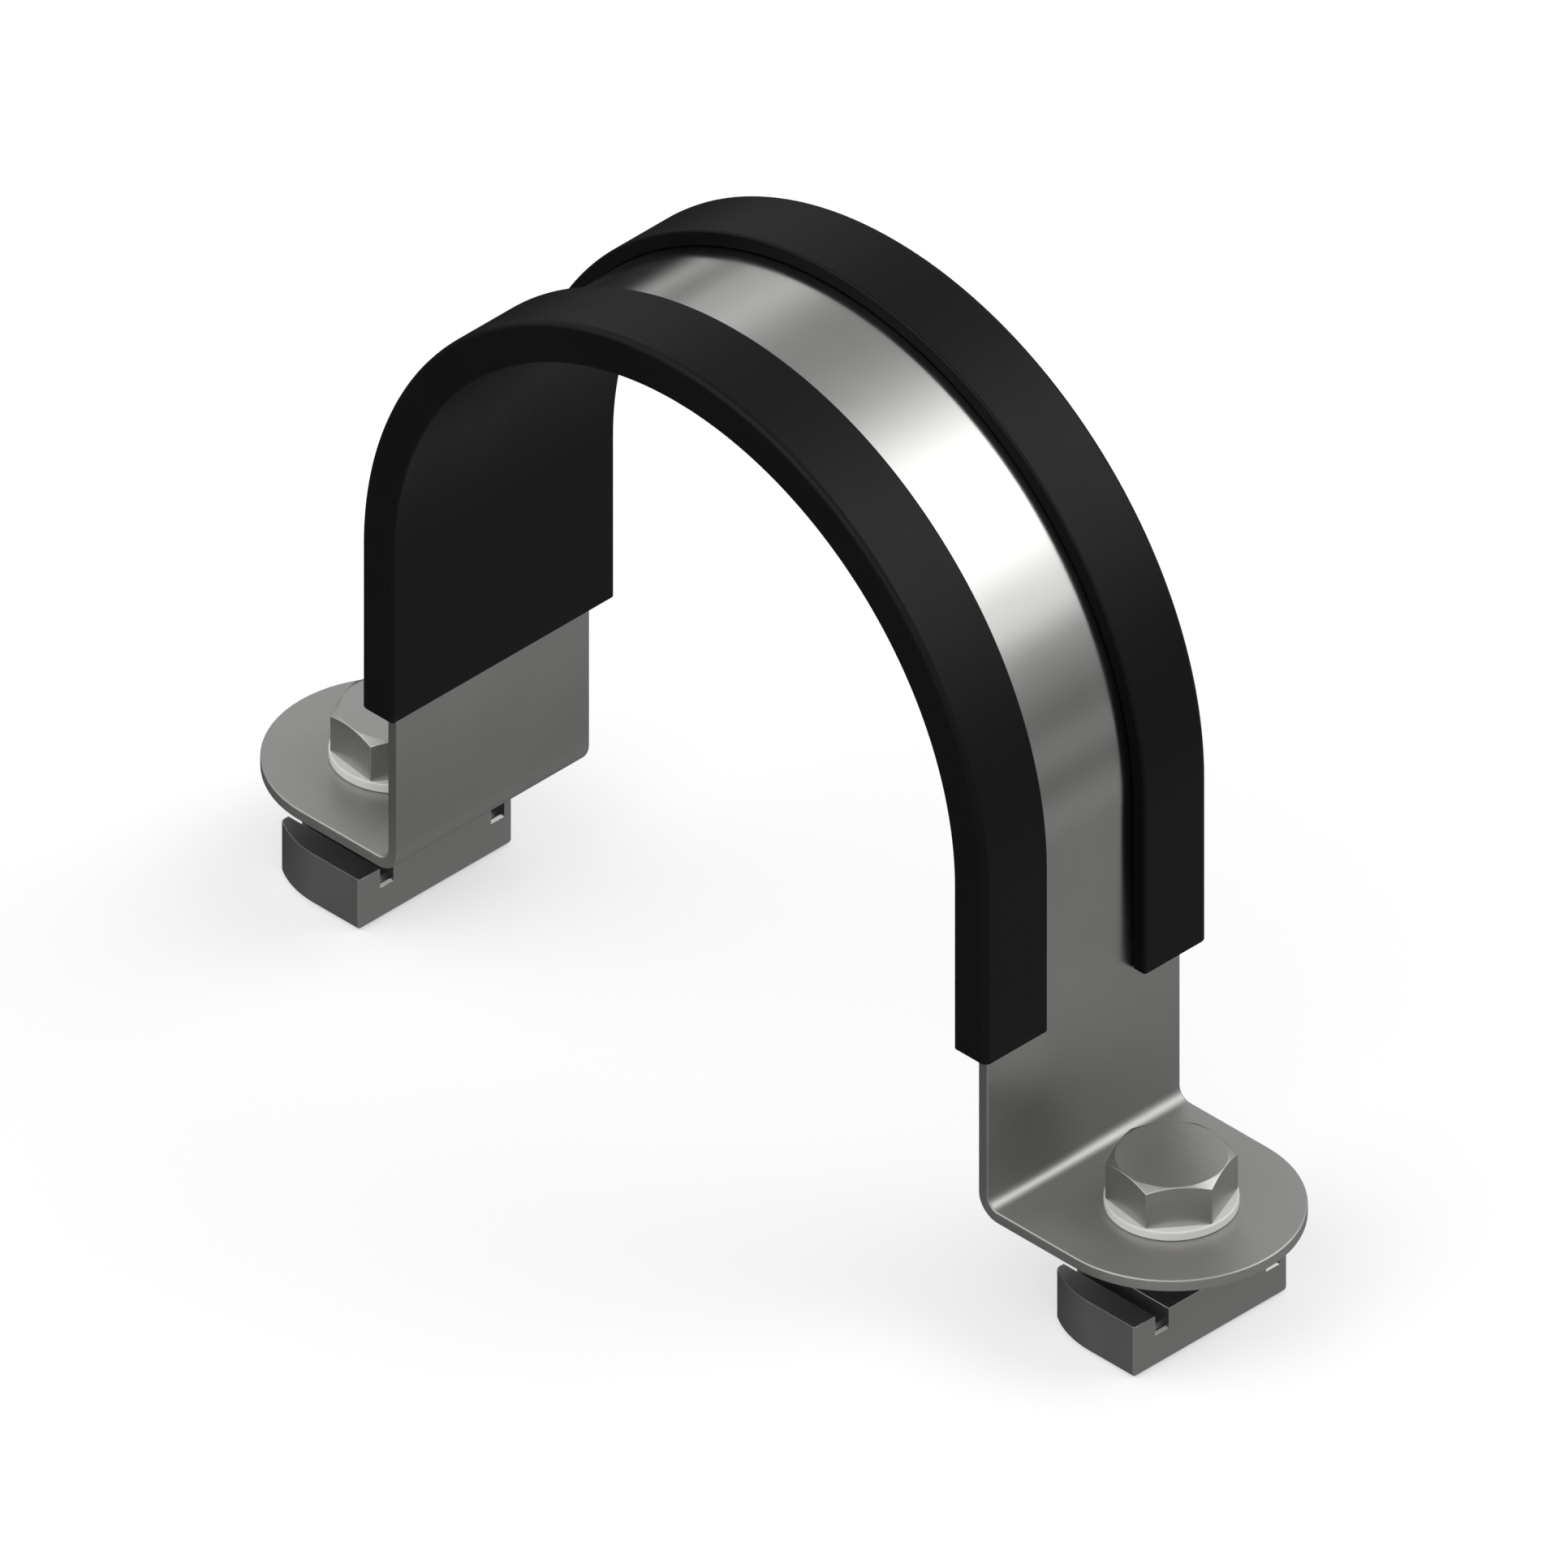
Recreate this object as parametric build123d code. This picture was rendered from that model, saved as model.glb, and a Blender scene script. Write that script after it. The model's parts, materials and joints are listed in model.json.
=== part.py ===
from build123d import *
from math import ceil, hypot, radians, tan
import os

# Rubber-lined saddle clamp for a large tube, bolted down on a slotted rail.
# The origin is the middle of the bore. X runs along the rail from foot to foot, Y along the tube, Z up.

# Saddle strap, bent from one flat steel strip
bore_radius = 58.2
axis_height = 59.0
strap_width = 40.0
strap_thickness = 2.0
bend_inside_radius = 2.0
bolt_from_leg = 18.15
foot_hole_diameter = 11.0

# Rubber lining, one extruded section that wraps both edges of the strap
lining_floor = 2.0
lining_side = 2.95
lining_lip = 2.55
lip_window = 20.0
lining_end_height = 30.0
lining_outer_fillet = 1.1
strap_play = 0.05

# Hexagon bolt, plain at the thread's outer diameter
bolt_diameter = 10.0
bolt_length = 20.0
bolt_tip_chamfer = 0.9
head_across_flats = 17.0
head_height = 7.0
head_chamfer_angle = 30.0
head_flat_share = 0.98
head_turn = -7.8

# Plain washer under the bolt head
washer_outer_diameter = 20.0
washer_hole_diameter = 10.5
washer_thickness = 1.6
washer_edge = 0.2

# Twist-in nut that grips the two inner lips of the rail from below
nut_gap = 7.2
nut_length = 34.5
nut_width = 19.0
nut_height = 9.0
nut_thread_play = 0.05
nut_hole_chamfer = 0.8
nut_bottom_chamfer = 0.6
groove_spacing = 23.0
groove_width = 2.8
groove_depth = 3.2
tooth_pitch = 1.5
tooth_depth = 0.6

# Sizes that follow from the ones above
strap_inner = bore_radius + lining_floor + strap_play
strap_outer = strap_inner + strap_thickness
pocket_inner = strap_inner - strap_play
pocket_outer = strap_outer + strap_play
pocket_width = strap_width + 2 * strap_play
lining_outer = pocket_outer + lining_lip
lining_width = pocket_width + 2 * lining_side
bolt_x = strap_outer + bolt_from_leg
foot_tip = bolt_x + strap_width / 2

# Heights of the seat on the rail, of the faces above it and of the nut's top below it
seat = -axis_height
foot_top = seat + strap_thickness
washer_top = foot_top + washer_thickness
nut_top = seat - nut_gap
lining_end = seat + lining_end_height

# Distance within which two places count as the same, and how far a cutter runs past what it cuts
near = 0.01
overrun = 1.0


def arch_block(radius, width, bottom):
    """Half round of the given radius about the bore's axis, with straight sides down to bottom."""
    crown = Circle(radius) & Pos(0, radius / 2) * Rectangle(2 * radius, radius)
    sides = Pos(0, bottom / 2) * Rectangle(2 * radius, -bottom)
    return extrude(Plane.XZ * (crown + sides), width / 2, both=True)


def arch_band(inner, outer, width, bottom):
    """Wall between two such blocks, open below."""
    return arch_block(outer, width, bottom) - arch_block(inner, width, bottom)


def cross_corners(body, x, z):
    """The two edges that run across the strap at height z, a distance x to either side."""
    across = body.edges().filter_by(Axis.Y)
    return across.filter_by(lambda edge: hypot(abs(edge.center().X) - x, edge.center().Z - z) < near)


def make_strap():
    band = arch_band(strap_inner, strap_outer, strap_width, seat)
    foot_length = foot_tip - strap_inner
    foot = Box(foot_length, strap_width, strap_thickness)
    for side in (-1, 1):
        band += Pos(side * (foot_tip - foot_length / 2), 0, (seat + foot_top) / 2) * foot
    band = fillet(cross_corners(band, strap_outer, foot_top), bend_inside_radius)
    band = fillet(cross_corners(band, strap_inner, seat), bend_inside_radius + strap_thickness)
    plan = SlotCenterToCenter(2 * bolt_x, strap_width)
    for side in (-1, 1):
        plan -= Pos(side * bolt_x, 0) * Circle(foot_hole_diameter / 2)
    return band & Pos(0, 0, seat) * extrude(plan, axis_height + strap_outer)


def distance_from_axis(point):
    """Distance from the bore's axis, or from the middle plane for a point lower than the axis."""
    return hypot(point.X, max(point.Z, 0))


def outer_rim(body):
    """The long outer edges of the lining's two flat sides."""
    rim = body.edges().filter_by(lambda edge: abs(abs(edge.center().Y) - lining_width / 2) < near)
    return rim.filter_by(lambda edge: abs(distance_from_axis(edge @ 0.5) - lining_outer) < near)


def make_lining():
    body = arch_band(bore_radius, lining_outer, lining_width, lining_end)
    body = fillet(outer_rim(body), lining_outer_fillet)
    body -= arch_band(pocket_inner, pocket_outer, pocket_width, lining_end)
    return body - arch_band(strap_outer, lining_outer + overrun, lip_window, lining_end)


def make_bolt():
    head = extrude(RegularPolygon(head_across_flats / 2, 6, major_radius=False), head_height)
    flat_radius = head_flat_share * head_across_flats / 2
    slope = head_height / tan(radians(head_chamfer_angle))
    head &= Pos(0, 0, head_height / 2) * Cone(flat_radius + slope, flat_radius, head_height)
    shank = Pos(0, 0, -bolt_length / 2) * Cylinder(bolt_diameter / 2, bolt_length)
    shank = chamfer(shank.edges().group_by(Axis.Z)[0], bolt_tip_chamfer)
    return Rot(0, 0, head_turn) * head + shank


def make_washer():
    disc = Pos(0, 0, washer_thickness / 2) * Cylinder(washer_outer_diameter / 2, washer_thickness)
    disc = chamfer(disc.edges().group_by(Axis.Z)[-1], washer_edge)
    return disc - Cylinder(washer_hole_diameter / 2, 3 * washer_thickness)


def make_groove_cutter():
    """One groove along the nut's width, with a saw-tooth floor that bites into the lip's edge."""
    count = ceil(nut_width / tooth_pitch) + 1
    start = -count * tooth_pitch / 2
    points = [(start, overrun), (start, -groove_depth)]
    for tooth in range(count):
        left = start + tooth * tooth_pitch
        points.append((left + tooth_pitch / 2, -groove_depth - tooth_depth))
        points.append((left + tooth_pitch, -groove_depth))
    points.append((-start, overrun))
    profile = make_face(Plane.XZ * Polyline(*points, close=True))
    return extrude(profile, groove_width / 2, both=True)


def make_nut():
    """Block with two opposite corners rounded about its middle, so that it can be turned in place."""
    outline = Circle(nut_length / 2)
    for side in (-1, 1):
        square_corner = Rectangle(nut_width / 2, nut_length / 2)
        outline += Pos(side * nut_width / 4, -side * nut_length / 4) * square_corner
    outline &= Rectangle(nut_width, nut_length)
    nut = extrude(outline, -nut_height)
    nut = chamfer(nut.edges().group_by(Axis.Z)[0], nut_bottom_chamfer)
    for side in (-1, 1):
        nut -= Pos(0, side * groove_spacing / 2, 0) * make_groove_cutter()
    hole_radius = bolt_diameter / 2 + nut_thread_play
    nut -= Pos(0, 0, -nut_height / 2) * Cylinder(hole_radius, nut_height + overrun)
    mouth = Cone(hole_radius, hole_radius + nut_hole_chamfer, nut_hole_chamfer)
    return nut - Pos(0, 0, -nut_hole_chamfer / 2) * mouth


pieces = {"strap": make_strap(), "lining": make_lining()}
for name, side in (("left", -1), ("right", 1)):
    pieces["washer_" + name] = Pos(side * bolt_x, 0, foot_top) * make_washer()
    pieces["bolt_" + name] = Pos(side * bolt_x, 0, washer_top) * make_bolt()
    pieces["slot_nut_" + name] = Pos(side * bolt_x, 0, nut_top) * make_nut()

os.makedirs("parts", exist_ok=True)
for node, solid in pieces.items():
    export_step(solid, "parts/" + node + ".step")
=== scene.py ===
import json
import math

import bmesh
import bpy
from mathutils import Matrix, Vector


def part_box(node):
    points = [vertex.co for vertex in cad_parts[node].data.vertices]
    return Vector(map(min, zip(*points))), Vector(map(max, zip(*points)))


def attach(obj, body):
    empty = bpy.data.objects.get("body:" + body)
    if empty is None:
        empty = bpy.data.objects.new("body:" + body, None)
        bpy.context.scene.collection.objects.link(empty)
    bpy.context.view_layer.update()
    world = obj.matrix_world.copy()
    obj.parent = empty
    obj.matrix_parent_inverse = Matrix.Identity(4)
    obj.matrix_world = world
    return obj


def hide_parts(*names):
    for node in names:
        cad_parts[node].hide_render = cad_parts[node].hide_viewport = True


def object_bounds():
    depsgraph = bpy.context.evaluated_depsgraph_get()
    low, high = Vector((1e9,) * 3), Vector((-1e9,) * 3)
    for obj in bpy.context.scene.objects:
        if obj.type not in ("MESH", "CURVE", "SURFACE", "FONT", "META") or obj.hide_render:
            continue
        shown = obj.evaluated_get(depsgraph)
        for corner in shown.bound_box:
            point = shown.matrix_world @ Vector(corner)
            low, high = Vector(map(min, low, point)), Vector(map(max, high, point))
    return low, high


# Dressed model of a rubber-lined saddle clamp, in metres.
# X runs from foot to foot, Y along the bore and Z up. The origin is the middle of the bore.

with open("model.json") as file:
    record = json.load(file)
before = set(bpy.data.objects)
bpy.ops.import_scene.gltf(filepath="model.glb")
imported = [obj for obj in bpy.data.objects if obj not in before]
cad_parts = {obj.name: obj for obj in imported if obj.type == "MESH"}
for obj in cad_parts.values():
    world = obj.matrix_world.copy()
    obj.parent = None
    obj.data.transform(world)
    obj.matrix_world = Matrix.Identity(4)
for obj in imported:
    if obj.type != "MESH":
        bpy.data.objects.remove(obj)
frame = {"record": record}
solids_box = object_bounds()
scene = bpy.context.scene

# Sizes and heights read from the solids
strap_low, strap_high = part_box("strap")
lining_low, lining_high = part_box("lining")
washer_low, washer_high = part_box("washer_right")
bolt_low, bolt_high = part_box("bolt_right")
nut_low, nut_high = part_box("slot_nut_right")
mounts = {mount["name"]: mount for mount in frame["record"]["mounts"]}

bore_radius = mounts["bore"]["dims"]["r_mm"] / 1000
foot_top = washer_low.z
strap_thickness = foot_top - strap_low.z
strap_width = 2 * strap_high.y
bolt_x = (washer_low.x + washer_high.x) / 2
lining_outer = lining_high.z
lining_width = 2 * lining_high.y
lining_end = lining_low.z
washer_radius = (washer_high.x - washer_low.x) / 2
washer_thickness = washer_high.z - washer_low.z
head_height = bolt_high.z - washer_high.z
bolt_length = washer_high.z - bolt_low.z
nut_width = nut_high.x - nut_low.x
nut_length = nut_high.y - nut_low.y
nut_height = nut_high.z - nut_low.z

# Strap
bend_inside_radius = 0.002
foot_hole_radius = 0.0055
strap_edge_round = 0.0003

# Rubber lining
lining_floor = 0.002
strap_play = 0.00005
lining_side = 0.00295
lip_window = 0.020
rubber_rim_round = 0.0011
rubber_bore_round = 0.0004
rubber_lip_round = 0.0005
rubber_pocket_round = 0.0003
rubber_end_round = 0.0002

# Hexagon bolt
head_across_flats = 0.017
head_flat_share = 0.98
head_chamfer_angle = math.radians(30)
head_turn = math.radians(-7.8)
head_edge_round = 0.00012
head_top_round = 0.00005

# Thread of bolt and nut. Its crest and flank are shares of half a pitch, and the root is the rest.
thread_radius = 0.005
thread_pitch = 0.0015
thread_depth = 0.00092
thread_play = 0.00005
thread_crest = 0.125
thread_flank = 0.625
thread_run_in = 2

# Washer
washer_hole_radius = 0.00525
washer_edge_round = 0.0003

# Twist-in nut
nut_mouth = 0.0008
nut_corner_round = 0.0005
nut_bottom_round = 0.0006
nut_top_round = 0.0002
groove_spacing = 0.023
groove_width = 0.0028
groove_depth = 0.0032
groove_overrun = 1.2
tooth_pitch = 0.0015
tooth_depth = 0.0006
tooth_land = 0.00018

# The strap lies on the lining's floor
strap_inner = bore_radius + lining_floor + strap_play
strap_outer = strap_inner + strap_thickness

# How finely round shapes are divided
arch_steps = 120
leg_steps = 8
bend_steps = 12
cross_steps = 12
foot_edge_steps = 6
foot_round_steps = 36
round_steps = 72
corner_steps = 5
nut_turn_steps = 2 * corner_steps
thread_steps = 16

# Points this close are joined, and an edge sharper than this angle stays sharp to the eye
same_place = 0.000002
sharp_angle = math.radians(40)

# A face with more corners than this is a hole that was filled
most_corners = 8

quarter_turn = math.pi / 2

# Colours of the finishes
strap_grey = (0.56, 0.555, 0.54)
# Painted shade: a darker strap colour mixed in just above the bends
strap_painted_shade = (0.22, 0.218, 0.21)
bolt_grey = (0.60, 0.595, 0.58)
nut_grey = (0.48, 0.475, 0.465)
washer_white = (0.93, 0.925, 0.905)
mark_grey = (0.30, 0.30, 0.31)
worn_white = (0.80, 0.79, 0.77)
rubber_black = (0.0028, 0.0028, 0.0031)
rubber_bloom = (0.0046, 0.0046, 0.0051)
floor_grey = (0.55, 0.55, 0.55)
floor_white = (0.8, 0.8, 0.8)
white = (1, 1, 1)

# Bright areas of the studio beside the window: where each is, how narrow and how strong
studio_areas = (
    ((-0.67, 0.58, 0.47), 70.0, 0.45),
    ((-0.81, 0.58, 0.06), 150.0, 0.12),
    ((-0.55, -0.60, 0.62), 4.0, 0.55),
    ((0.75, -0.60, 0.45), 5.0, 0.3),
    ((0.0, -0.78, 0.62), 8.0, 1.0),
)


class Value:
    """A node's output. Arithmetic on it adds Math or Vector Math nodes to its tree."""

    def __init__(self, graph, socket):
        self.graph = graph
        self.socket = socket

    def __getitem__(self, name):
        """Another output of the same node."""
        return Value(self.graph, find_socket(self.socket.node.outputs, name))

    def __add__(self, other):
        return self.graph.math("ADD", self, other)

    __radd__ = __add__

    def __sub__(self, other):
        return self.graph.math("SUBTRACT", self, other)

    def __rsub__(self, other):
        return self.graph.math("SUBTRACT", other, self)

    def __mul__(self, other):
        return self.graph.math("MULTIPLY", self, other)

    __rmul__ = __mul__

    def __truediv__(self, other):
        return self.graph.math("DIVIDE", self, other)

    def __rtruediv__(self, other):
        return self.graph.math("DIVIDE", other, self)

    def __pow__(self, other):
        return self.graph.math("POWER", self, other)

    def __neg__(self):
        return self * -1


class Graph:
    """A shader or geometry tree that is being built."""

    def __init__(self, tree):
        self.tree = tree

    def add(self, kind, settings=None, sockets=None):
        """Adds a node with its settings and the values or links of its sockets.

        Gives the node's first output, or the node itself where it has none."""
        node = self.tree.nodes.new(kind)
        for name, value in (settings or {}).items():
            setattr(node, name, value)
        for name, value in (sockets or {}).items():
            target = find_socket(node.inputs, name)
            for part in value if isinstance(value, list) else [value]:
                if isinstance(part, Value):
                    self.tree.links.new(part.socket, target)
                else:
                    target.default_value = part
        shown = [socket for socket in node.outputs if socket.enabled]
        return Value(self, shown[0]) if shown else node

    def math(self, operation, *terms):
        """A Math node, or a Vector Math node where one of the terms is a vector."""
        kind, names = "ShaderNodeMath", ("Value", "Value_001")
        if any(is_vector(term) for term in terms):
            kind, names = "ShaderNodeVectorMath", ("Vector", "Vector_001")
            terms = [(term,) * 3 if isinstance(term, (int, float)) else term for term in terms]
        return self.add(kind, {"operation": operation}, dict(zip(names, terms)))

    def vector(self, x, y, z):
        return self.add("ShaderNodeCombineXYZ", sockets={"X": x, "Y": y, "Z": z})

    def parts(self, vector):
        """The X, Y and Z of a vector, to be taken by name."""
        return self.add("ShaderNodeSeparateXYZ", sockets={"Vector": vector})

    def mix(self, share, first, second):
        """Colour that goes from the first to the second as share goes from 0 to 1."""
        sockets = {"Factor_Float": share, "A_Color": first, "B_Color": second}
        return self.add("ShaderNodeMix", {"data_type": "RGBA"}, sockets)["Result_Color"]

    def limit(self, value, low, high):
        return self.math("MINIMUM", self.math("MAXIMUM", value, low), high)


def find_socket(sockets, name):
    """The socket with that identifier, or else with that name."""
    matches = [socket for socket in sockets if socket.identifier == name]
    return (matches or [socket for socket in sockets if socket.name == name])[0]


def is_vector(term):
    if isinstance(term, Value):
        return term.socket.type in ("VECTOR", "RGBA")
    return isinstance(term, (tuple, Vector))


def new_piece(name, mesh):
    piece = bpy.data.objects.new(name, mesh)
    scene.collection.objects.link(piece)
    return piece


def finished_mesh(shape, name):
    """Plain mesh of a bmesh."""
    mesh = bpy.data.meshes.new(name)
    shape.to_mesh(mesh)
    shape.free()
    return mesh


def at_height(item, height):
    """Whether an edge or face lies flat at the height."""
    return all(abs(vert.co.z - height) < same_place for vert in item.verts)


def add_bevel(piece, width, sharper_than, segments=2):
    """Modifier that rounds the edges whose faces meet at more than the angle, in degrees."""
    bevel = piece.modifiers.new("Edges", "BEVEL")
    bevel.width, bevel.segments = width, segments
    bevel.limit_method, bevel.angle_limit = "ANGLE", math.radians(sharper_than)
    bevel.use_clamp_overlap = True


def bevel_sharp(shape, width, sharper_than, chosen=lambda edge: True, segments=2):
    """Rounds the chosen edges whose faces meet at more than the angle, in degrees."""
    shape.normal_update()
    least = math.radians(sharper_than)
    edges = [edge for edge in shape.edges
             if edge.is_manifold and chosen(edge) and edge.calc_face_angle() > least]
    bmesh.ops.bevel(shape, geom=edges, offset=width, segments=segments, profile=0.5,
                    affect="EDGES", clamp_overlap=True)


def apply_modifiers(piece):
    """Turns what the piece's modifiers show into its own plain mesh."""
    depsgraph = bpy.context.evaluated_depsgraph_get()
    mesh = bpy.data.meshes.new_from_object(
        piece.evaluated_get(depsgraph), preserve_all_data_layers=True, depsgraph=depsgraph)
    piece.modifiers.clear()
    piece.data = mesh


def finish_surface(piece):
    """Applies the modifiers, points every face outwards and smooths all but the sharp edges."""
    apply_modifiers(piece)
    shape = bmesh.new()
    shape.from_mesh(piece.data)
    bmesh.ops.remove_doubles(shape, verts=shape.verts, dist=same_place)
    bmesh.ops.recalc_face_normals(shape, faces=shape.faces)
    shape.to_mesh(piece.data)
    shape.free()
    piece.data.shade_smooth()
    piece.data.set_sharp_from_angle(angle=sharp_angle)
    weighted = piece.modifiers.new("Flats", "WEIGHTED_NORMAL")
    weighted.keep_sharp = True
    apply_modifiers(piece)
    return piece


def shape_tree(name, build, sizes, material):
    """Geometry tree with a named input for each size. The build function makes its shape."""
    tree = bpy.data.node_groups.new(name, "GeometryNodeTree")
    tree.interface.new_socket("Start", in_out="INPUT", socket_type="NodeSocketGeometry")
    for size, value in sizes.items():
        kind = "NodeSocketInt" if isinstance(value, int) else "NodeSocketFloat"
        tree.interface.new_socket(size, in_out="INPUT", socket_type=kind)
    tree.interface.new_socket("Shape", in_out="OUTPUT", socket_type="NodeSocketGeometry")
    graph = Graph(tree)
    start = graph.add("NodeGroupInput")
    shape = build(graph, start, {size: start[size] for size in sizes})
    shape = graph.add("GeometryNodeRealizeInstances", sockets={"Geometry": shape})
    shape = graph.add("GeometryNodeSetShadeSmooth", sockets={"Geometry": shape})
    shape = graph.add("GeometryNodeSetMaterial", sockets={"Geometry": shape, "Material": material})
    graph.add("NodeGroupOutput", sockets={"Shape": shape})
    return tree


def grow(piece, build, sizes, material):
    """Adds a geometry tree to the piece and sets its sizes."""
    tree = shape_tree(build.__name__, build, sizes, material)
    modifier = piece.modifiers.new("Shape", "NODES")
    modifier.node_group = tree
    for item in tree.interface.items_tree:
        if item.in_out == "INPUT" and item.name in sizes:
            modifier[item.identifier] = sizes[item.name]


def keep_field(graph, geometry, name, kind, value):
    """Keeps a value of each point under a name, for the sweep or the material to read."""
    sockets = {"Geometry": geometry, "Name": name, "Value": value}
    settings = {"data_type": kind, "domain": "POINT"}
    return graph.add("GeometryNodeStoreNamedAttribute", settings, sockets)


def rounded_outline(corners):
    """Closed outline through corners given as (x, y, radius), each rounded with its own radius."""
    outline = []
    for index, (x, y, radius) in enumerate(corners):
        corner = Vector((x, y))
        back = (Vector(corners[index - 1][:2]) - corner).normalized()
        ahead = (Vector(corners[(index + 1) % len(corners)][:2]) - corner).normalized()
        half = back.angle(ahead) / 2
        centre = corner + (back + ahead).normalized() * radius / math.sin(half)
        start = corner + back * radius / math.tan(half) - centre
        turn = start.angle_signed(corner + ahead * radius / math.tan(half) - centre)
        for step in range(corner_steps + 1):
            outline.append(centre + Matrix.Rotation(-turn * step / corner_steps, 2) @ start)
    return outline


def swept_section(graph, start, size):
    """Sweeps the section up one leg, round the arch and down the other leg."""
    index = graph.add("GeometryNodeInputIndex")
    legs, arch = size["Leg Steps"], size["Arch Steps"]
    length, radius = size["Leg Length"], size["Path Radius"]
    turn = graph.limit((index - legs) / arch, 0, 1) * math.pi
    still_to_climb = graph.math("MAXIMUM", legs - index, 0)
    already_down = graph.math("MAXIMUM", index - legs - arch, 0)
    drop = (still_to_climb + already_down) / legs * length
    outward = graph.vector(-graph.math("COSINE", turn), 0, graph.math("SINE", turn))
    place = outward * radius - graph.vector(0, 0, drop)
    along = turn * radius + graph.math("MINIMUM", index, legs) / legs * length
    along = along + already_down / legs * length

    line = graph.add("GeometryNodeMeshLine", sockets={"Count": legs * 2 + arch + 1})
    line = keep_field(graph, line, "outward", "FLOAT_VECTOR", outward)
    line = keep_field(graph, line, "along", "FLOAT", along)
    line = graph.add("GeometryNodeSetPosition", sockets={"Geometry": line, "Position": place})
    path = graph.add("GeometryNodeMeshToCurve", sockets={"Mesh": line})
    stored = graph.add(
        "GeometryNodeInputNamedAttribute", {"data_type": "FLOAT_VECTOR"}, {"Name": "outward"})
    sockets = {"Curve": path, "Normal": stored}
    path = graph.add("GeometryNodeSetCurveNormal", {"mode": "FREE"}, sockets)

    across = graph.parts(graph.add("GeometryNodeInputPosition"))
    section = keep_field(graph, start, "across", "FLOAT", across["Y"])
    section = keep_field(graph, section, "depth", "FLOAT", across["X"])
    section = graph.add("GeometryNodeMeshToCurve", sockets={"Mesh": section})
    sockets = {"Curve": path, "Profile Curve": section, "Fill Caps": True}
    shell = graph.add("GeometryNodeCurveToMesh", sockets=sockets)
    sockets = {"Geometry": shell, "Name": "outward"}
    return graph.add("GeometryNodeRemoveAttribute", sockets=sockets)


def make_lining(material):
    """Rubber section that wraps both edges of the strap, swept along the strap's own path."""
    side, window = lining_width / 2, lip_window / 2
    pocket = side - lining_side
    floor, roof = strap_inner - strap_play, strap_outer + strap_play
    half = [
        (bore_radius, side, rubber_bore_round),
        (lining_outer, side, rubber_rim_round),
        (lining_outer, window, rubber_lip_round),
        (roof, window, rubber_pocket_round),
        (roof, pocket, rubber_pocket_round),
        (floor, pocket, rubber_pocket_round),
    ]
    mirrored = [(radius, -across, rounding) for radius, across, rounding in reversed(half)]
    outline = [(x - lining_outer, y) for x, y in rounded_outline(half + mirrored)]
    shape = bmesh.new()
    points = [shape.verts.new((x, y, 0)) for x, y in outline]
    for this, following in zip(points, points[1:] + points[:1]):
        shape.edges.new((this, following))
    piece = new_piece("rubber_lining", finished_mesh(shape, "rubber_lining"))
    sizes = {
        "Path Radius": lining_outer,
        "Leg Length": -lining_end,
        "Arch Steps": arch_steps,
        "Leg Steps": leg_steps,
    }
    grow(piece, swept_section, sizes, material)
    add_bevel(piece, rubber_end_round, sharper_than=60)
    return finish_surface(piece)


def bent_strip(graph, start, size):
    """Bends a flat strip round the arch, down the legs and out into the feet.

    The strip lies along X with its middle at the origin and its outer face at the height 0."""
    strip = graph.parts(graph.add("GeometryNodeInputPosition"))
    side = graph.math("SIGN", strip["X"])
    run = graph.math("ABSOLUTE", strip["X"])
    arch, leg, bend = size["Arch Radius"], size["Leg Length"], size["Bend Radius"]

    arch_turn = graph.limit(run / arch, 0, quarter_turn)
    run = run - arch * quarter_turn
    drop = graph.limit(run, 0, leg)
    run = run - leg
    bend_turn = graph.limit(run / bend, 0, quarter_turn)
    reach = graph.math("MAXIMUM", run - bend * quarter_turn, 0)

    sine, cosine = graph.math("SINE", arch_turn), graph.math("COSINE", arch_turn)
    bend_sine, bend_cosine = graph.math("SINE", bend_turn), graph.math("COSINE", bend_turn)
    x = arch * sine + bend * (1 - bend_cosine) + reach + strip["Z"] * sine * bend_cosine
    z = arch * cosine - drop - bend * bend_sine + strip["Z"] * (cosine + bend_sine)
    place = graph.vector(side * x, strip["Y"], z)
    return graph.add("GeometryNodeSetPosition", sockets={"Geometry": start, "Position": place})


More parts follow.
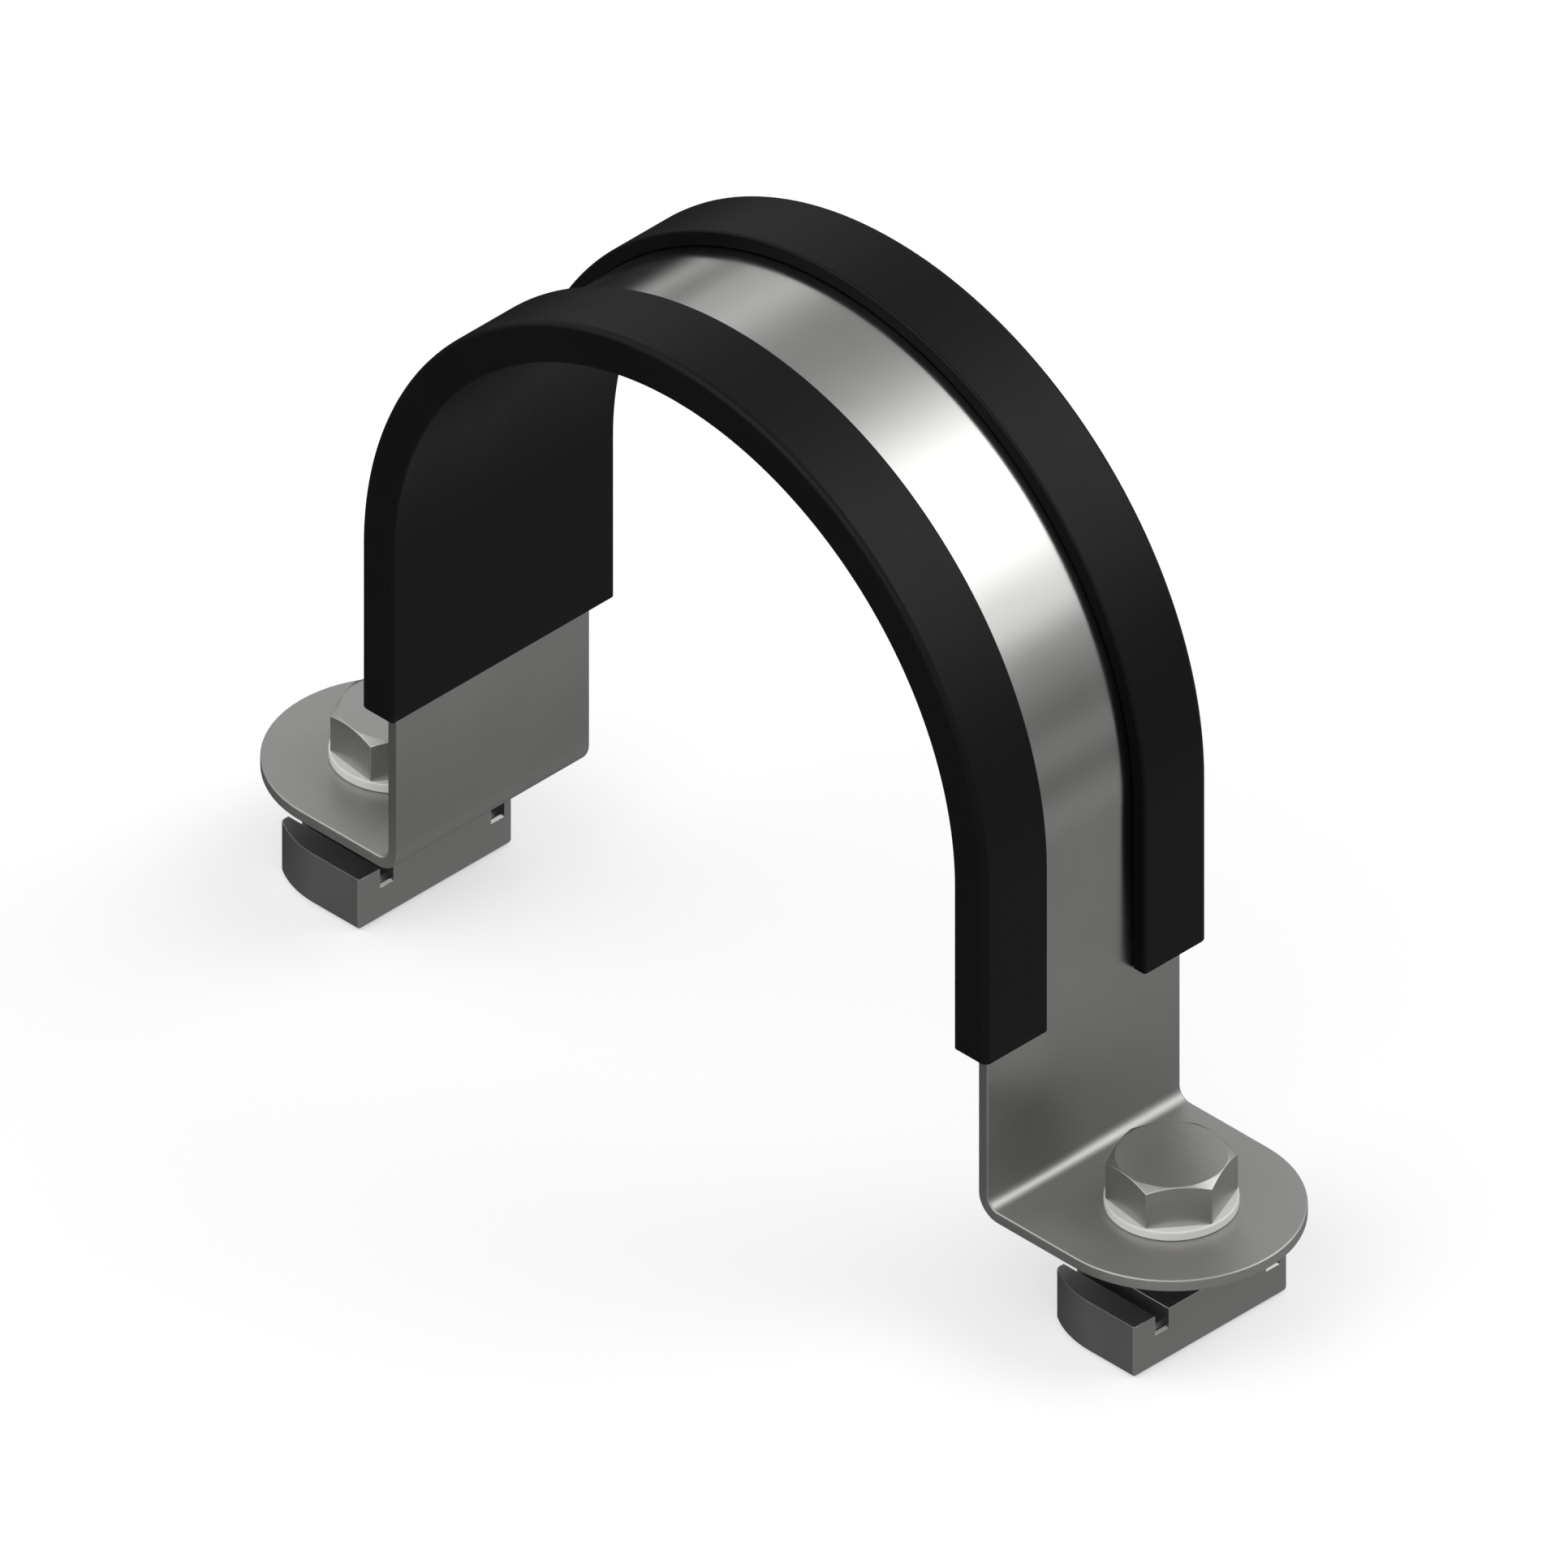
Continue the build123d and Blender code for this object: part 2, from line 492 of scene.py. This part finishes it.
def make_strap(material):
    """One steel strip with two round ends and two holes, first flat and then bent."""
    leg_length = -foot_top - bend_inside_radius
    arch_end = quarter_turn * strap_outer
    foot_start = quarter_turn * (strap_outer + bend_inside_radius) + leg_length
    hole_place = foot_start + bolt_x - strap_outer - bend_inside_radius
    stops = ((0, 0), (arch_end, arch_steps // 2),
             (arch_end + leg_length, leg_steps), (foot_start, bend_steps))
    runs = [0.0]
    for (begin, _), (end, count) in zip(stops, stops[1:]):
        runs += [begin + (end - begin) * step / count for step in range(1, count + 1)]
    runs = [-run for run in reversed(runs[1:])] + runs

    half_width = strap_width / 2
    lines = [-half_width + strap_width * step / cross_steps for step in range(cross_steps + 1)]
    shape = bmesh.new()
    rows = [[shape.verts.new((run, line, 0)) for line in lines] for run in runs]
    for row, following in zip(rows, rows[1:]):
        for index in range(cross_steps):
            after = index + 1
            shape.faces.new((row[index], following[index], following[after], row[after]))
    add_flat_foot(shape, rows[-1], hole_place, 1)
    add_flat_foot(shape, rows[0], -hole_place, -1)
    bmesh.ops.recalc_face_normals(shape, faces=shape.faces)
    if next(iter(shape.faces)).normal.z < 0:
        bmesh.ops.reverse_faces(shape, faces=shape.faces)
    strip_map = shape.loops.layers.uv.new("strip")
    for face in shape.faces:
        for loop in face.loops:
            loop[strip_map].uv = loop.vert.co.xy

    piece = new_piece("saddle_strap", finished_mesh(shape, "saddle_strap"))
    wall = piece.modifiers.new("Wall", "SOLIDIFY")
    wall.thickness, wall.offset = strap_thickness, -1
    add_bevel(piece, strap_edge_round, sharper_than=45, segments=3)
    sizes = {
        "Arch Radius": strap_outer,
        "Leg Length": leg_length,
        "Bend Radius": bend_inside_radius,
    }
    grow(piece, bent_strip, sizes, material)
    return finish_surface(piece)


def add_flat_foot(shape, row, hole_place, side):
    """Flat end of the strip with its hole, from the last row of points to the round tip."""
    half_width = strap_width / 2
    start = row[0].co.x
    rim = list(row)
    for step in range(1, foot_edge_steps + 1):
        x = start + (hole_place - start) * step / foot_edge_steps
        rim.append(shape.verts.new((x, half_width, 0)))
    for step in range(1, foot_round_steps):
        angle = math.pi * step / foot_round_steps
        tip = (hole_place + side * half_width * math.sin(angle), half_width * math.cos(angle), 0)
        rim.append(shape.verts.new(tip))
    for step in range(foot_edge_steps):
        x = hole_place + (start - hole_place) * step / foot_edge_steps
        rim.append(shape.verts.new((x, -half_width, 0)))
    middle = Vector((hole_place, 0, 0))
    hole = []
    for point in rim:
        hole.append(shape.verts.new(middle + (point.co - middle).normalized() * foot_hole_radius))
    for index, point in enumerate(rim):
        after = (index + 1) % len(rim)
        shape.faces.new((point, rim[after], hole[after], hole[index]))


def helix(graph, start, size):
    """Wall of a right-hand thread about Z. Where External is 1 its ends are coned in, else out."""
    sheet_size = 1.0
    grid = graph.add("GeometryNodeMeshGrid", sockets={
        "Size X": sheet_size, "Size Y": sheet_size,
        "Vertices X": size["Columns"] + 1, "Vertices Y": size["Rows"] + 1})
    sheet = graph.parts(graph.add("GeometryNodeInputPosition"))
    around = sheet["X"] + sheet_size / 2
    turns = (sheet["Y"] + sheet_size / 2) * size["Rows"] / size["Rows Per Turn"]
    from_crest = graph.math("ABSOLUTE", graph.math("FRACT", turns) - 0.5) * 2
    flank = graph.limit((from_crest - thread_crest) / thread_flank, 0, 1)
    radius = size["Crest Radius"] - flank * size["Thread Depth"]

    raw_height = size["Start Height"] + (around + turns) * size["Pitch"]
    height = graph.limit(raw_height, size["Bottom"], size["Top"])
    above, below, end = height - size["Bottom"], size["Top"] - height, size["End Radius"]
    coned_in = graph.math("MINIMUM", graph.math("MINIMUM", radius, end + above), end + below)
    coned_out = graph.math("MAXIMUM", graph.math("MAXIMUM", radius, end - above), end - below)
    radius = coned_in * size["External"] + coned_out * (1 - size["External"])

    angle = around * 2 * math.pi
    x, y = radius * graph.math("COSINE", angle), radius * graph.math("SINE", angle)
    sockets = {"Geometry": grid["Mesh"], "Position": graph.vector(x, y, height)}
    wall = graph.add("GeometryNodeSetPosition", sockets=sockets)
    sockets = {"Geometry": wall, "Distance": same_place}
    return graph.add("GeometryNodeMergeByDistance", sockets=sockets)


def make_thread(name, material, external, bottom, top, end_radius, play=0.0):
    """Threaded wall between two heights below the washer's top. Bolt and nut share one helix."""
    start_height = -bolt_length - thread_run_in * thread_pitch
    piece = new_piece(name, bpy.data.meshes.new(name))
    grow(piece, helix, {
        "External": 1.0 if external else 0.0,
        "Crest Radius": thread_radius + play,
        "Thread Depth": thread_depth,
        "Pitch": thread_pitch,
        "Start Height": start_height,
        "Bottom": bottom,
        "Top": top,
        "End Radius": end_radius,
        "Columns": round_steps,
        "Rows": math.ceil((top - start_height) / thread_pitch) * thread_steps,
        "Rows Per Turn": thread_steps,
    }, material)
    apply_modifiers(piece)
    mesh = piece.data
    bpy.data.objects.remove(piece)
    return mesh


def make_head(shape, root_radius):
    """Hexagon head with its corners coned off, open at the bottom where the shank joins it."""
    apothem = head_across_flats / 2
    flat_radius = head_flat_share * apothem
    rings = [[], [], [], []]
    for step in range(round_steps):
        angle = 2 * math.pi * step / round_steps
        across = Vector((math.cos(angle), math.sin(angle), 0))
        side = apothem / math.cos(angle % (math.pi / 3) - math.pi / 6)
        cone_height = head_height - (side - flat_radius) * math.tan(head_chamfer_angle)
        places = ((root_radius, 0), (side, 0), (side, cone_height), (flat_radius, head_height))
        for ring, (radius, height) in zip(rings, places):
            ring.append(shape.verts.new(across * radius + Vector((0, 0, height))))
    for ring, above in zip(rings, rings[1:]):
        for index in range(round_steps):
            after = (index + 1) % round_steps
            shape.faces.new((ring[index], ring[after], above[after], above[index]))
    top = shape.verts.new((0, 0, head_height))
    for index in range(round_steps):
        shape.faces.new((rings[-1][index], rings[-1][(index + 1) % round_steps], top))
    bevel_sharp(shape, head_edge_round, sharper_than=35)
    bevel_sharp(shape, head_top_round, sharper_than=25,
                chosen=lambda edge: at_height(edge, head_height), segments=1)


def make_bolt(material):
    """Hexagon bolt with its whole thread, its head's underside at the height 0."""
    root_radius = thread_radius - thread_depth
    thread = make_thread("thread", material, True, -bolt_length, 0.0, root_radius)
    shape = bmesh.new()
    make_head(shape, root_radius)
    shape.from_mesh(thread)
    bmesh.ops.remove_doubles(shape, verts=shape.verts, dist=same_place)
    bmesh.ops.holes_fill(shape, edges=shape.edges, sides=0)
    tip = [face for face in shape.faces if len(face.verts) > most_corners]
    bmesh.ops.poke(shape, faces=tip)
    bmesh.ops.recalc_face_normals(shape, faces=shape.faces)
    return finished_mesh(shape, "hex_bolt")


def make_washer():
    """Plain washer with its underside at the height 0, turned from its own outline."""
    inner, outer, top = washer_hole_radius, washer_radius, washer_thickness
    corners = [(inner, 0), (outer, 0), (outer, top), (inner, top)]
    outline = rounded_outline([(*corner, washer_edge_round) for corner in corners])
    shape = bmesh.new()
    turns = []
    for step in range(round_steps):
        angle = 2 * math.pi * step / round_steps
        x, y = math.cos(angle), math.sin(angle)
        turns.append([shape.verts.new((radius * x, radius * y, z)) for radius, z in outline])
    for this, following in zip(turns, turns[1:] + turns[:1]):
        for index in range(len(outline)):
            after = (index + 1) % len(outline)
            shape.faces.new((this[index], following[index], following[after], this[after]))
    bmesh.ops.recalc_face_normals(shape, faces=shape.faces)
    return finished_mesh(shape, "washer")


def grooved_block(graph, start, size):
    """Cuts the two grooves and the row of teeth in each groove's floor."""
    def box(x, y, z):
        return graph.add("GeometryNodeMeshCube", sockets={"Size": graph.vector(x, y, z)})

    def moved(mesh, **sockets):
        return graph.add("GeometryNodeTransform", sockets={"Geometry": mesh, **sockets})

    def row_of(count, start_place, step):
        return graph.add("GeometryNodeMeshLine", sockets={
            "Count": count, "Start Location": start_place, "Offset": step})

    def repeated(points, mesh):
        sockets = {"Points": points, "Instance": mesh}
        return graph.add("GeometryNodeInstanceOnPoints", sockets=sockets)

    spacing, width, depth = size["Groove Spacing"], size["Groove Width"], size["Groove Depth"]
    ends = row_of(2, graph.vector(0, spacing / -2, 0), graph.vector(0, spacing, 0))
    slot = box(size["Block Width"] * groove_overrun, width, depth * 2)
    slots = repeated(ends, moved(slot, Translation=graph.vector(0, 0, size["Top"])))

    pitch, count = size["Tooth Pitch"], size["Teeth"]
    wedge = graph.add("GeometryNodeMeshCylinder", {"fill_type": "NGON"}, {
        "Vertices": 4, "Radius": 1.0, "Depth": width})["Mesh"]
    wedge = moved(wedge, Rotation=(quarter_turn, 0, 0))
    wedge = moved(wedge,
                  Scale=graph.vector((pitch - size["Tooth Land"]) / 2, 1, size["Tooth Depth"]),
                  Translation=graph.vector(0, 0, size["Top"] - depth))
    row = row_of(count, graph.vector((count - 1) * pitch / -2, 0, 0), graph.vector(pitch, 0, 0))
    teeth = repeated(ends, repeated(row, wedge))

    cutters = [graph.add("GeometryNodeRealizeInstances", sockets={"Geometry": cutter})
               for cutter in (slots, teeth)]
    return graph.add("GeometryNodeMeshBoolean", {"operation": "DIFFERENCE", "solver": "EXACT"}, {
        "Mesh 1": start["Start"], "Mesh 2": cutters})


def make_nut(material):
    """Twist-in nut with two opposite corners rounded, placed against the bolt's own heights."""
    top = nut_high.z - washer_high.z
    bottom = top - nut_height
    half_width, turning_radius = nut_width / 2, nut_length / 2
    corner = math.acos(half_width / turning_radius)
    outline = []
    for turn in (0, math.pi):
        outline.append(Matrix.Rotation(turn, 2) @ Vector((half_width, -turning_radius)))
        for step in range(nut_turn_steps + 1):
            angle = turn + corner + (quarter_turn - corner) * step / nut_turn_steps
            outline.append(Vector((math.cos(angle), math.sin(angle))) * turning_radius)
    shape = bmesh.new()
    base = shape.faces.new([shape.verts.new((x, y, bottom)) for x, y in outline])
    walls = bmesh.ops.extrude_face_region(shape, geom=[base], use_keep_orig=True)
    raised = [item for item in walls["geom"] if isinstance(item, bmesh.types.BMVert)]
    bmesh.ops.translate(shape, verts=raised, vec=(0, 0, nut_height))
    bmesh.ops.recalc_face_normals(shape, faces=shape.faces)

    def upright(edge):
        return abs(edge.verts[0].co.z - edge.verts[1].co.z) > nut_height / 2

    bevel_sharp(shape, nut_corner_round, sharper_than=45, chosen=upright, segments=3)
    bevel_sharp(shape, nut_bottom_round, sharper_than=45,
                chosen=lambda edge: at_height(edge, bottom), segments=3)
    piece = new_piece("nut_block", finished_mesh(shape, "nut_block"))
    grow(piece, grooved_block, {
        "Top": top,
        "Block Width": nut_width,
        "Groove Spacing": groove_spacing,
        "Groove Width": groove_width,
        "Groove Depth": groove_depth,
        "Tooth Pitch": tooth_pitch,
        "Tooth Depth": tooth_depth,
        "Tooth Land": tooth_land,
        "Teeth": math.ceil(nut_width / tooth_pitch) + 1,
    }, material)
    apply_modifiers(piece)

    shape = bmesh.new()
    shape.from_mesh(piece.data)
    bpy.data.objects.remove(piece)
    bevel_sharp(shape, nut_top_round, sharper_than=45, chosen=lambda edge: at_height(edge, top))
    for height in (bottom, top):
        level = [face for face in shape.faces if at_height(face, height)]
        middle = min(level, key=lambda face: face.calc_center_median().xy.length)
        bmesh.ops.delete(shape, geom=[middle], context="FACES_ONLY")
    mouth_radius = thread_radius + thread_play + nut_mouth
    shape.from_mesh(
        make_thread("nut_thread", material, False, bottom, top, mouth_radius, thread_play))
    bmesh.ops.remove_doubles(shape, verts=shape.verts, dist=same_place)
    for height in (bottom, top):
        rim = [edge for edge in shape.edges if edge.is_boundary and at_height(edge, height)]
        bmesh.ops.triangle_fill(shape, edges=rim, use_beauty=True)
    bmesh.ops.recalc_face_normals(shape, faces=shape.faces)
    return finished_mesh(shape, "slot_nut")


def place_copy(name, mesh, x, z, turn, material):
    """Copy of a mesh turned about its own middle and moved to its place at a foot."""
    own = mesh.copy()
    own.transform(Matrix.Translation((x, 0, z)) @ Matrix.Rotation(turn, 4, "Z"))
    own.materials.clear()
    own.materials.append(material)
    return finish_surface(new_piece(name, own))


def empty_graph(owner):
    """Cleared tree of a material or a world."""
    owner.use_nodes = True
    owner.node_tree.nodes.clear()
    return Graph(owner.node_tree)


def new_material(name, finish):
    """Material whose finish function gives the shader's sockets."""
    material = bpy.data.materials.new(name)
    graph = empty_graph(material)
    shader = graph.add("ShaderNodeBsdfPrincipled", sockets=finish(graph))
    graph.add("ShaderNodeOutputMaterial", sockets={"Surface": shader})
    return material


def paint(colour, share=1.0):
    """The colour times the share, as a colour socket takes it."""
    return tuple(share * level for level in colour) + (1,)


def noise(graph, place, waves, detail=2.0, roughness=0.5):
    """Noise of the given number of waves a metre, about 0.5."""
    sockets = {"Vector": place, "Scale": waves, "Detail": detail, "Roughness": roughness}
    return graph.add("ShaderNodeTexNoise", {"noise_dimensions": "3D"}, sockets)


def bump(graph, height, distance):
    """Normal of a surface raised by height, from 0 to 1, times the distance in metres."""
    sockets = {"Strength": 1.0, "Distance": distance, "Height": height}
    return graph.add("ShaderNodeBump", sockets=sockets)


def object_place(graph):
    return graph.add("ShaderNodeTexCoord")["Object"]


def smooth_step(graph, value, start, end, low=0.0, high=1.0):
    """Goes softly from low to high as the value goes from start to end."""
    return graph.add("ShaderNodeMapRange", {"interpolation_type": "SMOOTHSTEP"}, {
        "Value": value, "From Min": start, "From Max": end, "To Min": low, "To Max": high})


def edge_wear(graph, reach, gain):
    """From 0 on the flats to 1 close to an edge."""
    rounded = graph.add("ShaderNodeBevel", {"samples": 4}, {"Radius": reach})
    plain = graph.add("ShaderNodeNewGeometry")["Normal"]
    return graph.limit((1 - graph.math("DOT_PRODUCT", rounded, plain)["Value"]) * gain, 0, 1)


def zinc(graph, place, colour, roughness, marks_along, relief):
    """Zinc-plated steel: cloudy plating, fine marks, edges rubbed brighter and a slight relief.

    The marks run along the place's X, where marks_along is the share of waves that they keep."""
    cloud = noise(graph, place, waves=90.0, detail=3.0)
    fine = noise(graph, place, waves=1400.0)
    stretched = place * (marks_along, 1.0, 1.0)
    marks = noise(graph, stretched, waves=2600.0, detail=3.0, roughness=0.6)
    patch_contrast, patch_cut = 4, 1.5
    patches = graph.limit(noise(graph, place, waves=500.0) * patch_contrast - patch_cut, 0, 1)
    worn = edge_wear(graph, reach=0.0003, gain=12) * patches
    cloud_tint, mark_tint, worn_tint = 0.06, 0.10, 0.5
    cloud_dullness, worn_polish = 0.12, 0.04
    mark_relief, fine_relief = 0.6, 0.4
    tint = graph.mix(cloud, paint(colour, 1 - cloud_tint), paint(colour, 1 + cloud_tint))
    tint = graph.mix(mark_tint * marks, tint, paint(mark_grey))
    tint = graph.mix(worn_tint * worn, tint, paint(worn_white))
    return {
        "Base Color": tint,
        "Metallic": 1.0,
        "Roughness": roughness + cloud_dullness * (cloud - 0.5) - worn_polish * worn,
        "Normal": bump(graph, mark_relief * marks + fine_relief * fine, relief),
    }


def strap_finish(graph):
    """Smooth on the arch, duller down the legs, with painted shade just above the bends.

    The marks run along the strip."""
    smooth, duller = 0.17, 0.31
    painted_shade_depth, painted_shade_start = 0.35, 0.4
    above_bend, below_bend = 0.004, 0.002
    strip = graph.add("ShaderNodeUVMap", {"uv_map": "strip"})
    run = graph.math("ABSOLUTE", graph.parts(strip)["X"])
    arch_end = strap_outer * math.pi / 2
    leg_end = arch_end - foot_top
    painted_shade_deepest = leg_end - above_bend
    dull = smooth_step(graph, run, arch_end, leg_end)
    # Painted shade grows down the leg, is deepest just above the bend and fades out past it
    painted_shade = smooth_step(graph, run, arch_end - painted_shade_start * foot_top, painted_shade_deepest)
    painted_shade = painted_shade - smooth_step(graph, run, painted_shade_deepest, leg_end + below_bend)
    sockets = zinc(graph, strip, strap_grey, smooth + duller * dull,
                   marks_along=0.03, relief=0.0000015)
    # Painted shade: the strap's base colour is darkened just above each bend
    tint = graph.mix(painted_shade_depth * painted_shade, sockets["Base Color"], paint(strap_painted_shade))
    sockets["Base Color"] = tint
    return sockets


def bolt_finish(graph):
    return zinc(graph, object_place(graph), bolt_grey, roughness=0.40,
                marks_along=1.0, relief=0.000004)


def nut_finish(graph):
    return zinc(graph, object_place(graph), nut_grey, roughness=0.42,
                marks_along=0.15, relief=0.000005)


def washer_finish(graph):
    """Bright plating that scatters most of its light."""
    sockets = zinc(graph, object_place(graph), washer_white, roughness=0.40,
                   marks_along=1.0, relief=0.000003)
    sockets["Metallic"] = 0.05
    return sockets


def rubber_finish(graph):
    """Black rubber with faint drawn lines along the section's length and a fine grain."""
    def field(name):
        return graph.add("ShaderNodeAttribute", {"attribute_name": name})["Fac"]

    line_stretch = 0.02
    drawn = graph.vector(field("along") * line_stretch, field("across"), field("depth"))
    lines = noise(graph, drawn, waves=1500.0, detail=3.0, roughness=0.6)
    grain = noise(graph, object_place(graph), waves=4200.0)
    cloud = noise(graph, object_place(graph), waves=70.0, detail=3.0)
    roughness, cloud_dullness, line_dullness = 0.42, 0.14, 0.10
    line_relief, grain_relief = 0.7, 0.3
    return {
        "Base Color": graph.mix(cloud, paint(rubber_black), paint(rubber_bloom)),
        "Metallic": 0.0,
        "Specular IOR Level": 0.2,
        "Roughness": roughness + cloud_dullness * (cloud - 0.5) + line_dullness * (lines - 0.5),
        "Normal": bump(graph, line_relief * lines + grain_relief * grain, distance=0.000018),
    }


def make_floor():
    """Pale floor under the bolts, white to the camera with a soft shadow.

    Mirrored rays pass through it, and from below it isn't seen."""
    half_size, floor_gap, glow = 1.5, 0.0001, 0.42
    shape = bmesh.new()
    bmesh.ops.create_grid(shape, x_segments=1, y_segments=1, size=half_size)
    floor_height = solids_box[0][2] - floor_gap
    bmesh.ops.translate(shape, verts=shape.verts, vec=(0, 0, floor_height))
    floor = new_piece("floor", finished_mesh(shape, "floor"))
    material = bpy.data.materials.new("floor")
    graph = empty_graph(material)
    ray = graph.add("ShaderNodeLightPath")
    pale = graph.add("ShaderNodeBsdfDiffuse", sockets={"Color": paint(floor_grey)})
    bright = graph.add("ShaderNodeAddShader", sockets={
        "Shader": graph.add("ShaderNodeBsdfDiffuse", sockets={"Color": paint(floor_white)}),
        "Shader_001": graph.add(
            "ShaderNodeEmission", sockets={"Color": paint(white), "Strength": glow})})
    look = graph.add("ShaderNodeMixShader", sockets={
        "Fac": ray["Is Camera Ray"], "Shader": pale, "Shader_001": bright})
    from_below = graph.add("ShaderNodeNewGeometry")["Backfacing"]
    look = graph.add("ShaderNodeMixShader", sockets={
        "Fac": graph.math("MAXIMUM", ray["Is Glossy Ray"], from_below),
        "Shader": look, "Shader_001": graph.add("ShaderNodeBsdfTransparent")})
    graph.add("ShaderNodeOutputMaterial", sockets={"Surface": look})
    floor.data.materials.append(material)
    return floor


def make_studio():
    """White to the camera. The object is lit by a soft dome with a few broad bright areas.

    Below its horizon the dome is a grey ground, darker to the left, and soft bands run along the
    horizon. What is mirrored twice is darker."""
    world = bpy.data.worlds.new("studio")
    scene.world = world
    graph = empty_graph(world)
    direction = graph.add("ShaderNodeTexCoord")["Generated"]
    part = graph.parts(direction)

    def area(towards, narrowness, strength):
        towards = tuple(Vector(towards).normalized())
        facing = graph.math("DOT_PRODUCT", direction, towards)["Value"]
        return graph.math("MAXIMUM", facing, 0) ** narrowness * strength

    window = area(towards=(0.46, 0.58, 0.68), narrowness=10.5, strength=2.2)
    window = window * smooth_step(graph, part["Y"], start=-0.1, end=0.45)
    sky = window + smooth_step(graph, part["Z"], start=0.75, end=0.97, low=0.37, high=0.2)
    for towards, narrowness, strength in studio_areas:
        sky = sky + area(towards, narrowness, strength)

    left_ground = smooth_step(graph, part["Y"], start=-0.5, end=0.3, low=0.085, high=0.02)
    ground = smooth_step(graph, part["X"], start=-0.65, end=0.2, low=left_ground, high=0.27)
    horizon_tilt = 0.08
    tilted_height = part["Z"] - horizon_tilt * part["X"]
    above_horizon = smooth_step(graph, tilted_height, start=-0.03, end=0.12)
    light = ground + (sky - ground) * above_horizon

    band_strength, band_rate, band_shift = 0.22, 24.4, 0.21
    band_rise = smooth_step(graph, part["Z"], start=-0.6, end=-0.5, high=band_strength)
    band_fall = smooth_step(graph, part["Z"], start=0.3, end=0.5, high=band_strength)
    bands = graph.math("COSINE", (part["Z"] + band_shift) * band_rate)
    light = light * (1 + (band_rise - band_fall) * bands)

    mirror_loss, loss_from_depth = 0.7, 1.5
    ray = graph.add("ShaderNodeLightPath")
    twice_mirrored = graph.math("GREATER_THAN", ray["Glossy Depth"], loss_from_depth)
    light = light * (1 - mirror_loss * twice_mirrored)
    colour = graph.mix(ray["Is Camera Ray"], light * (1.0, 1.0, 1.0), paint(white))
    background = graph.add("ShaderNodeBackground", sockets={"Color": colour, "Strength": 1.0})
    graph.add("ShaderNodeOutputWorld", sockets={"Surface": background})


def make_camera():
    """Parallel view from the front right, as high as the corner of a cube."""
    view_width, aim_drop, distance = 0.23, 0.018, 0.6
    towards = Vector((1, -1, 1)).normalized()
    picture_up = Vector((-1, 1, 2)).normalized()
    data = bpy.data.cameras.new("camera")
    data.type, data.ortho_scale = "ORTHO", view_width
    data.clip_start, data.clip_end = 0.01, 10.0
    camera = new_piece("camera", data)
    camera.location = picture_up * -aim_drop + towards * distance
    camera.rotation_mode = "QUATERNION"
    camera.rotation_quaternion = (-towards).to_track_quat("-Z", "Y")
    scene.camera = camera


finishes = {
    "strap_steel": strap_finish,
    "lining_rubber": rubber_finish,
    "bolt_steel": bolt_finish,
    "washer_steel": washer_finish,
    "nut_steel": nut_finish,
}
materials = {slot: new_material(slot, finish) for slot, finish in finishes.items()}

pieces = {
    "strap": (make_strap(materials["strap_steel"]), "strap_steel"),
    "lining": (make_lining(materials["lining_rubber"]), "lining_rubber"),
}
bolt_mesh = make_bolt(materials["bolt_steel"])
washer_mesh = make_washer()
nut_mesh = make_nut(materials["nut_steel"])
fasteners = (
    ("washer_", "washer_plain_", washer_mesh, foot_top, 0, "washer_steel"),
    ("bolt_", "hex_bolt_", bolt_mesh, washer_high.z, head_turn, "bolt_steel"),
    ("slot_nut_", "twist_nut_", nut_mesh, washer_high.z, 0, "nut_steel"),
)
for side, x in (("left", -bolt_x), ("right", bolt_x)):
    for node, name, mesh, z, turn, slot in fasteners:
        pieces[node + side] = (place_copy(name + side, mesh, x, z, turn, materials[slot]), slot)

for node, (piece, slot) in pieces.items():
    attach(piece, "root")
    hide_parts(node)

make_floor()
make_studio()
make_camera()
scene.view_settings.view_transform = "Standard"
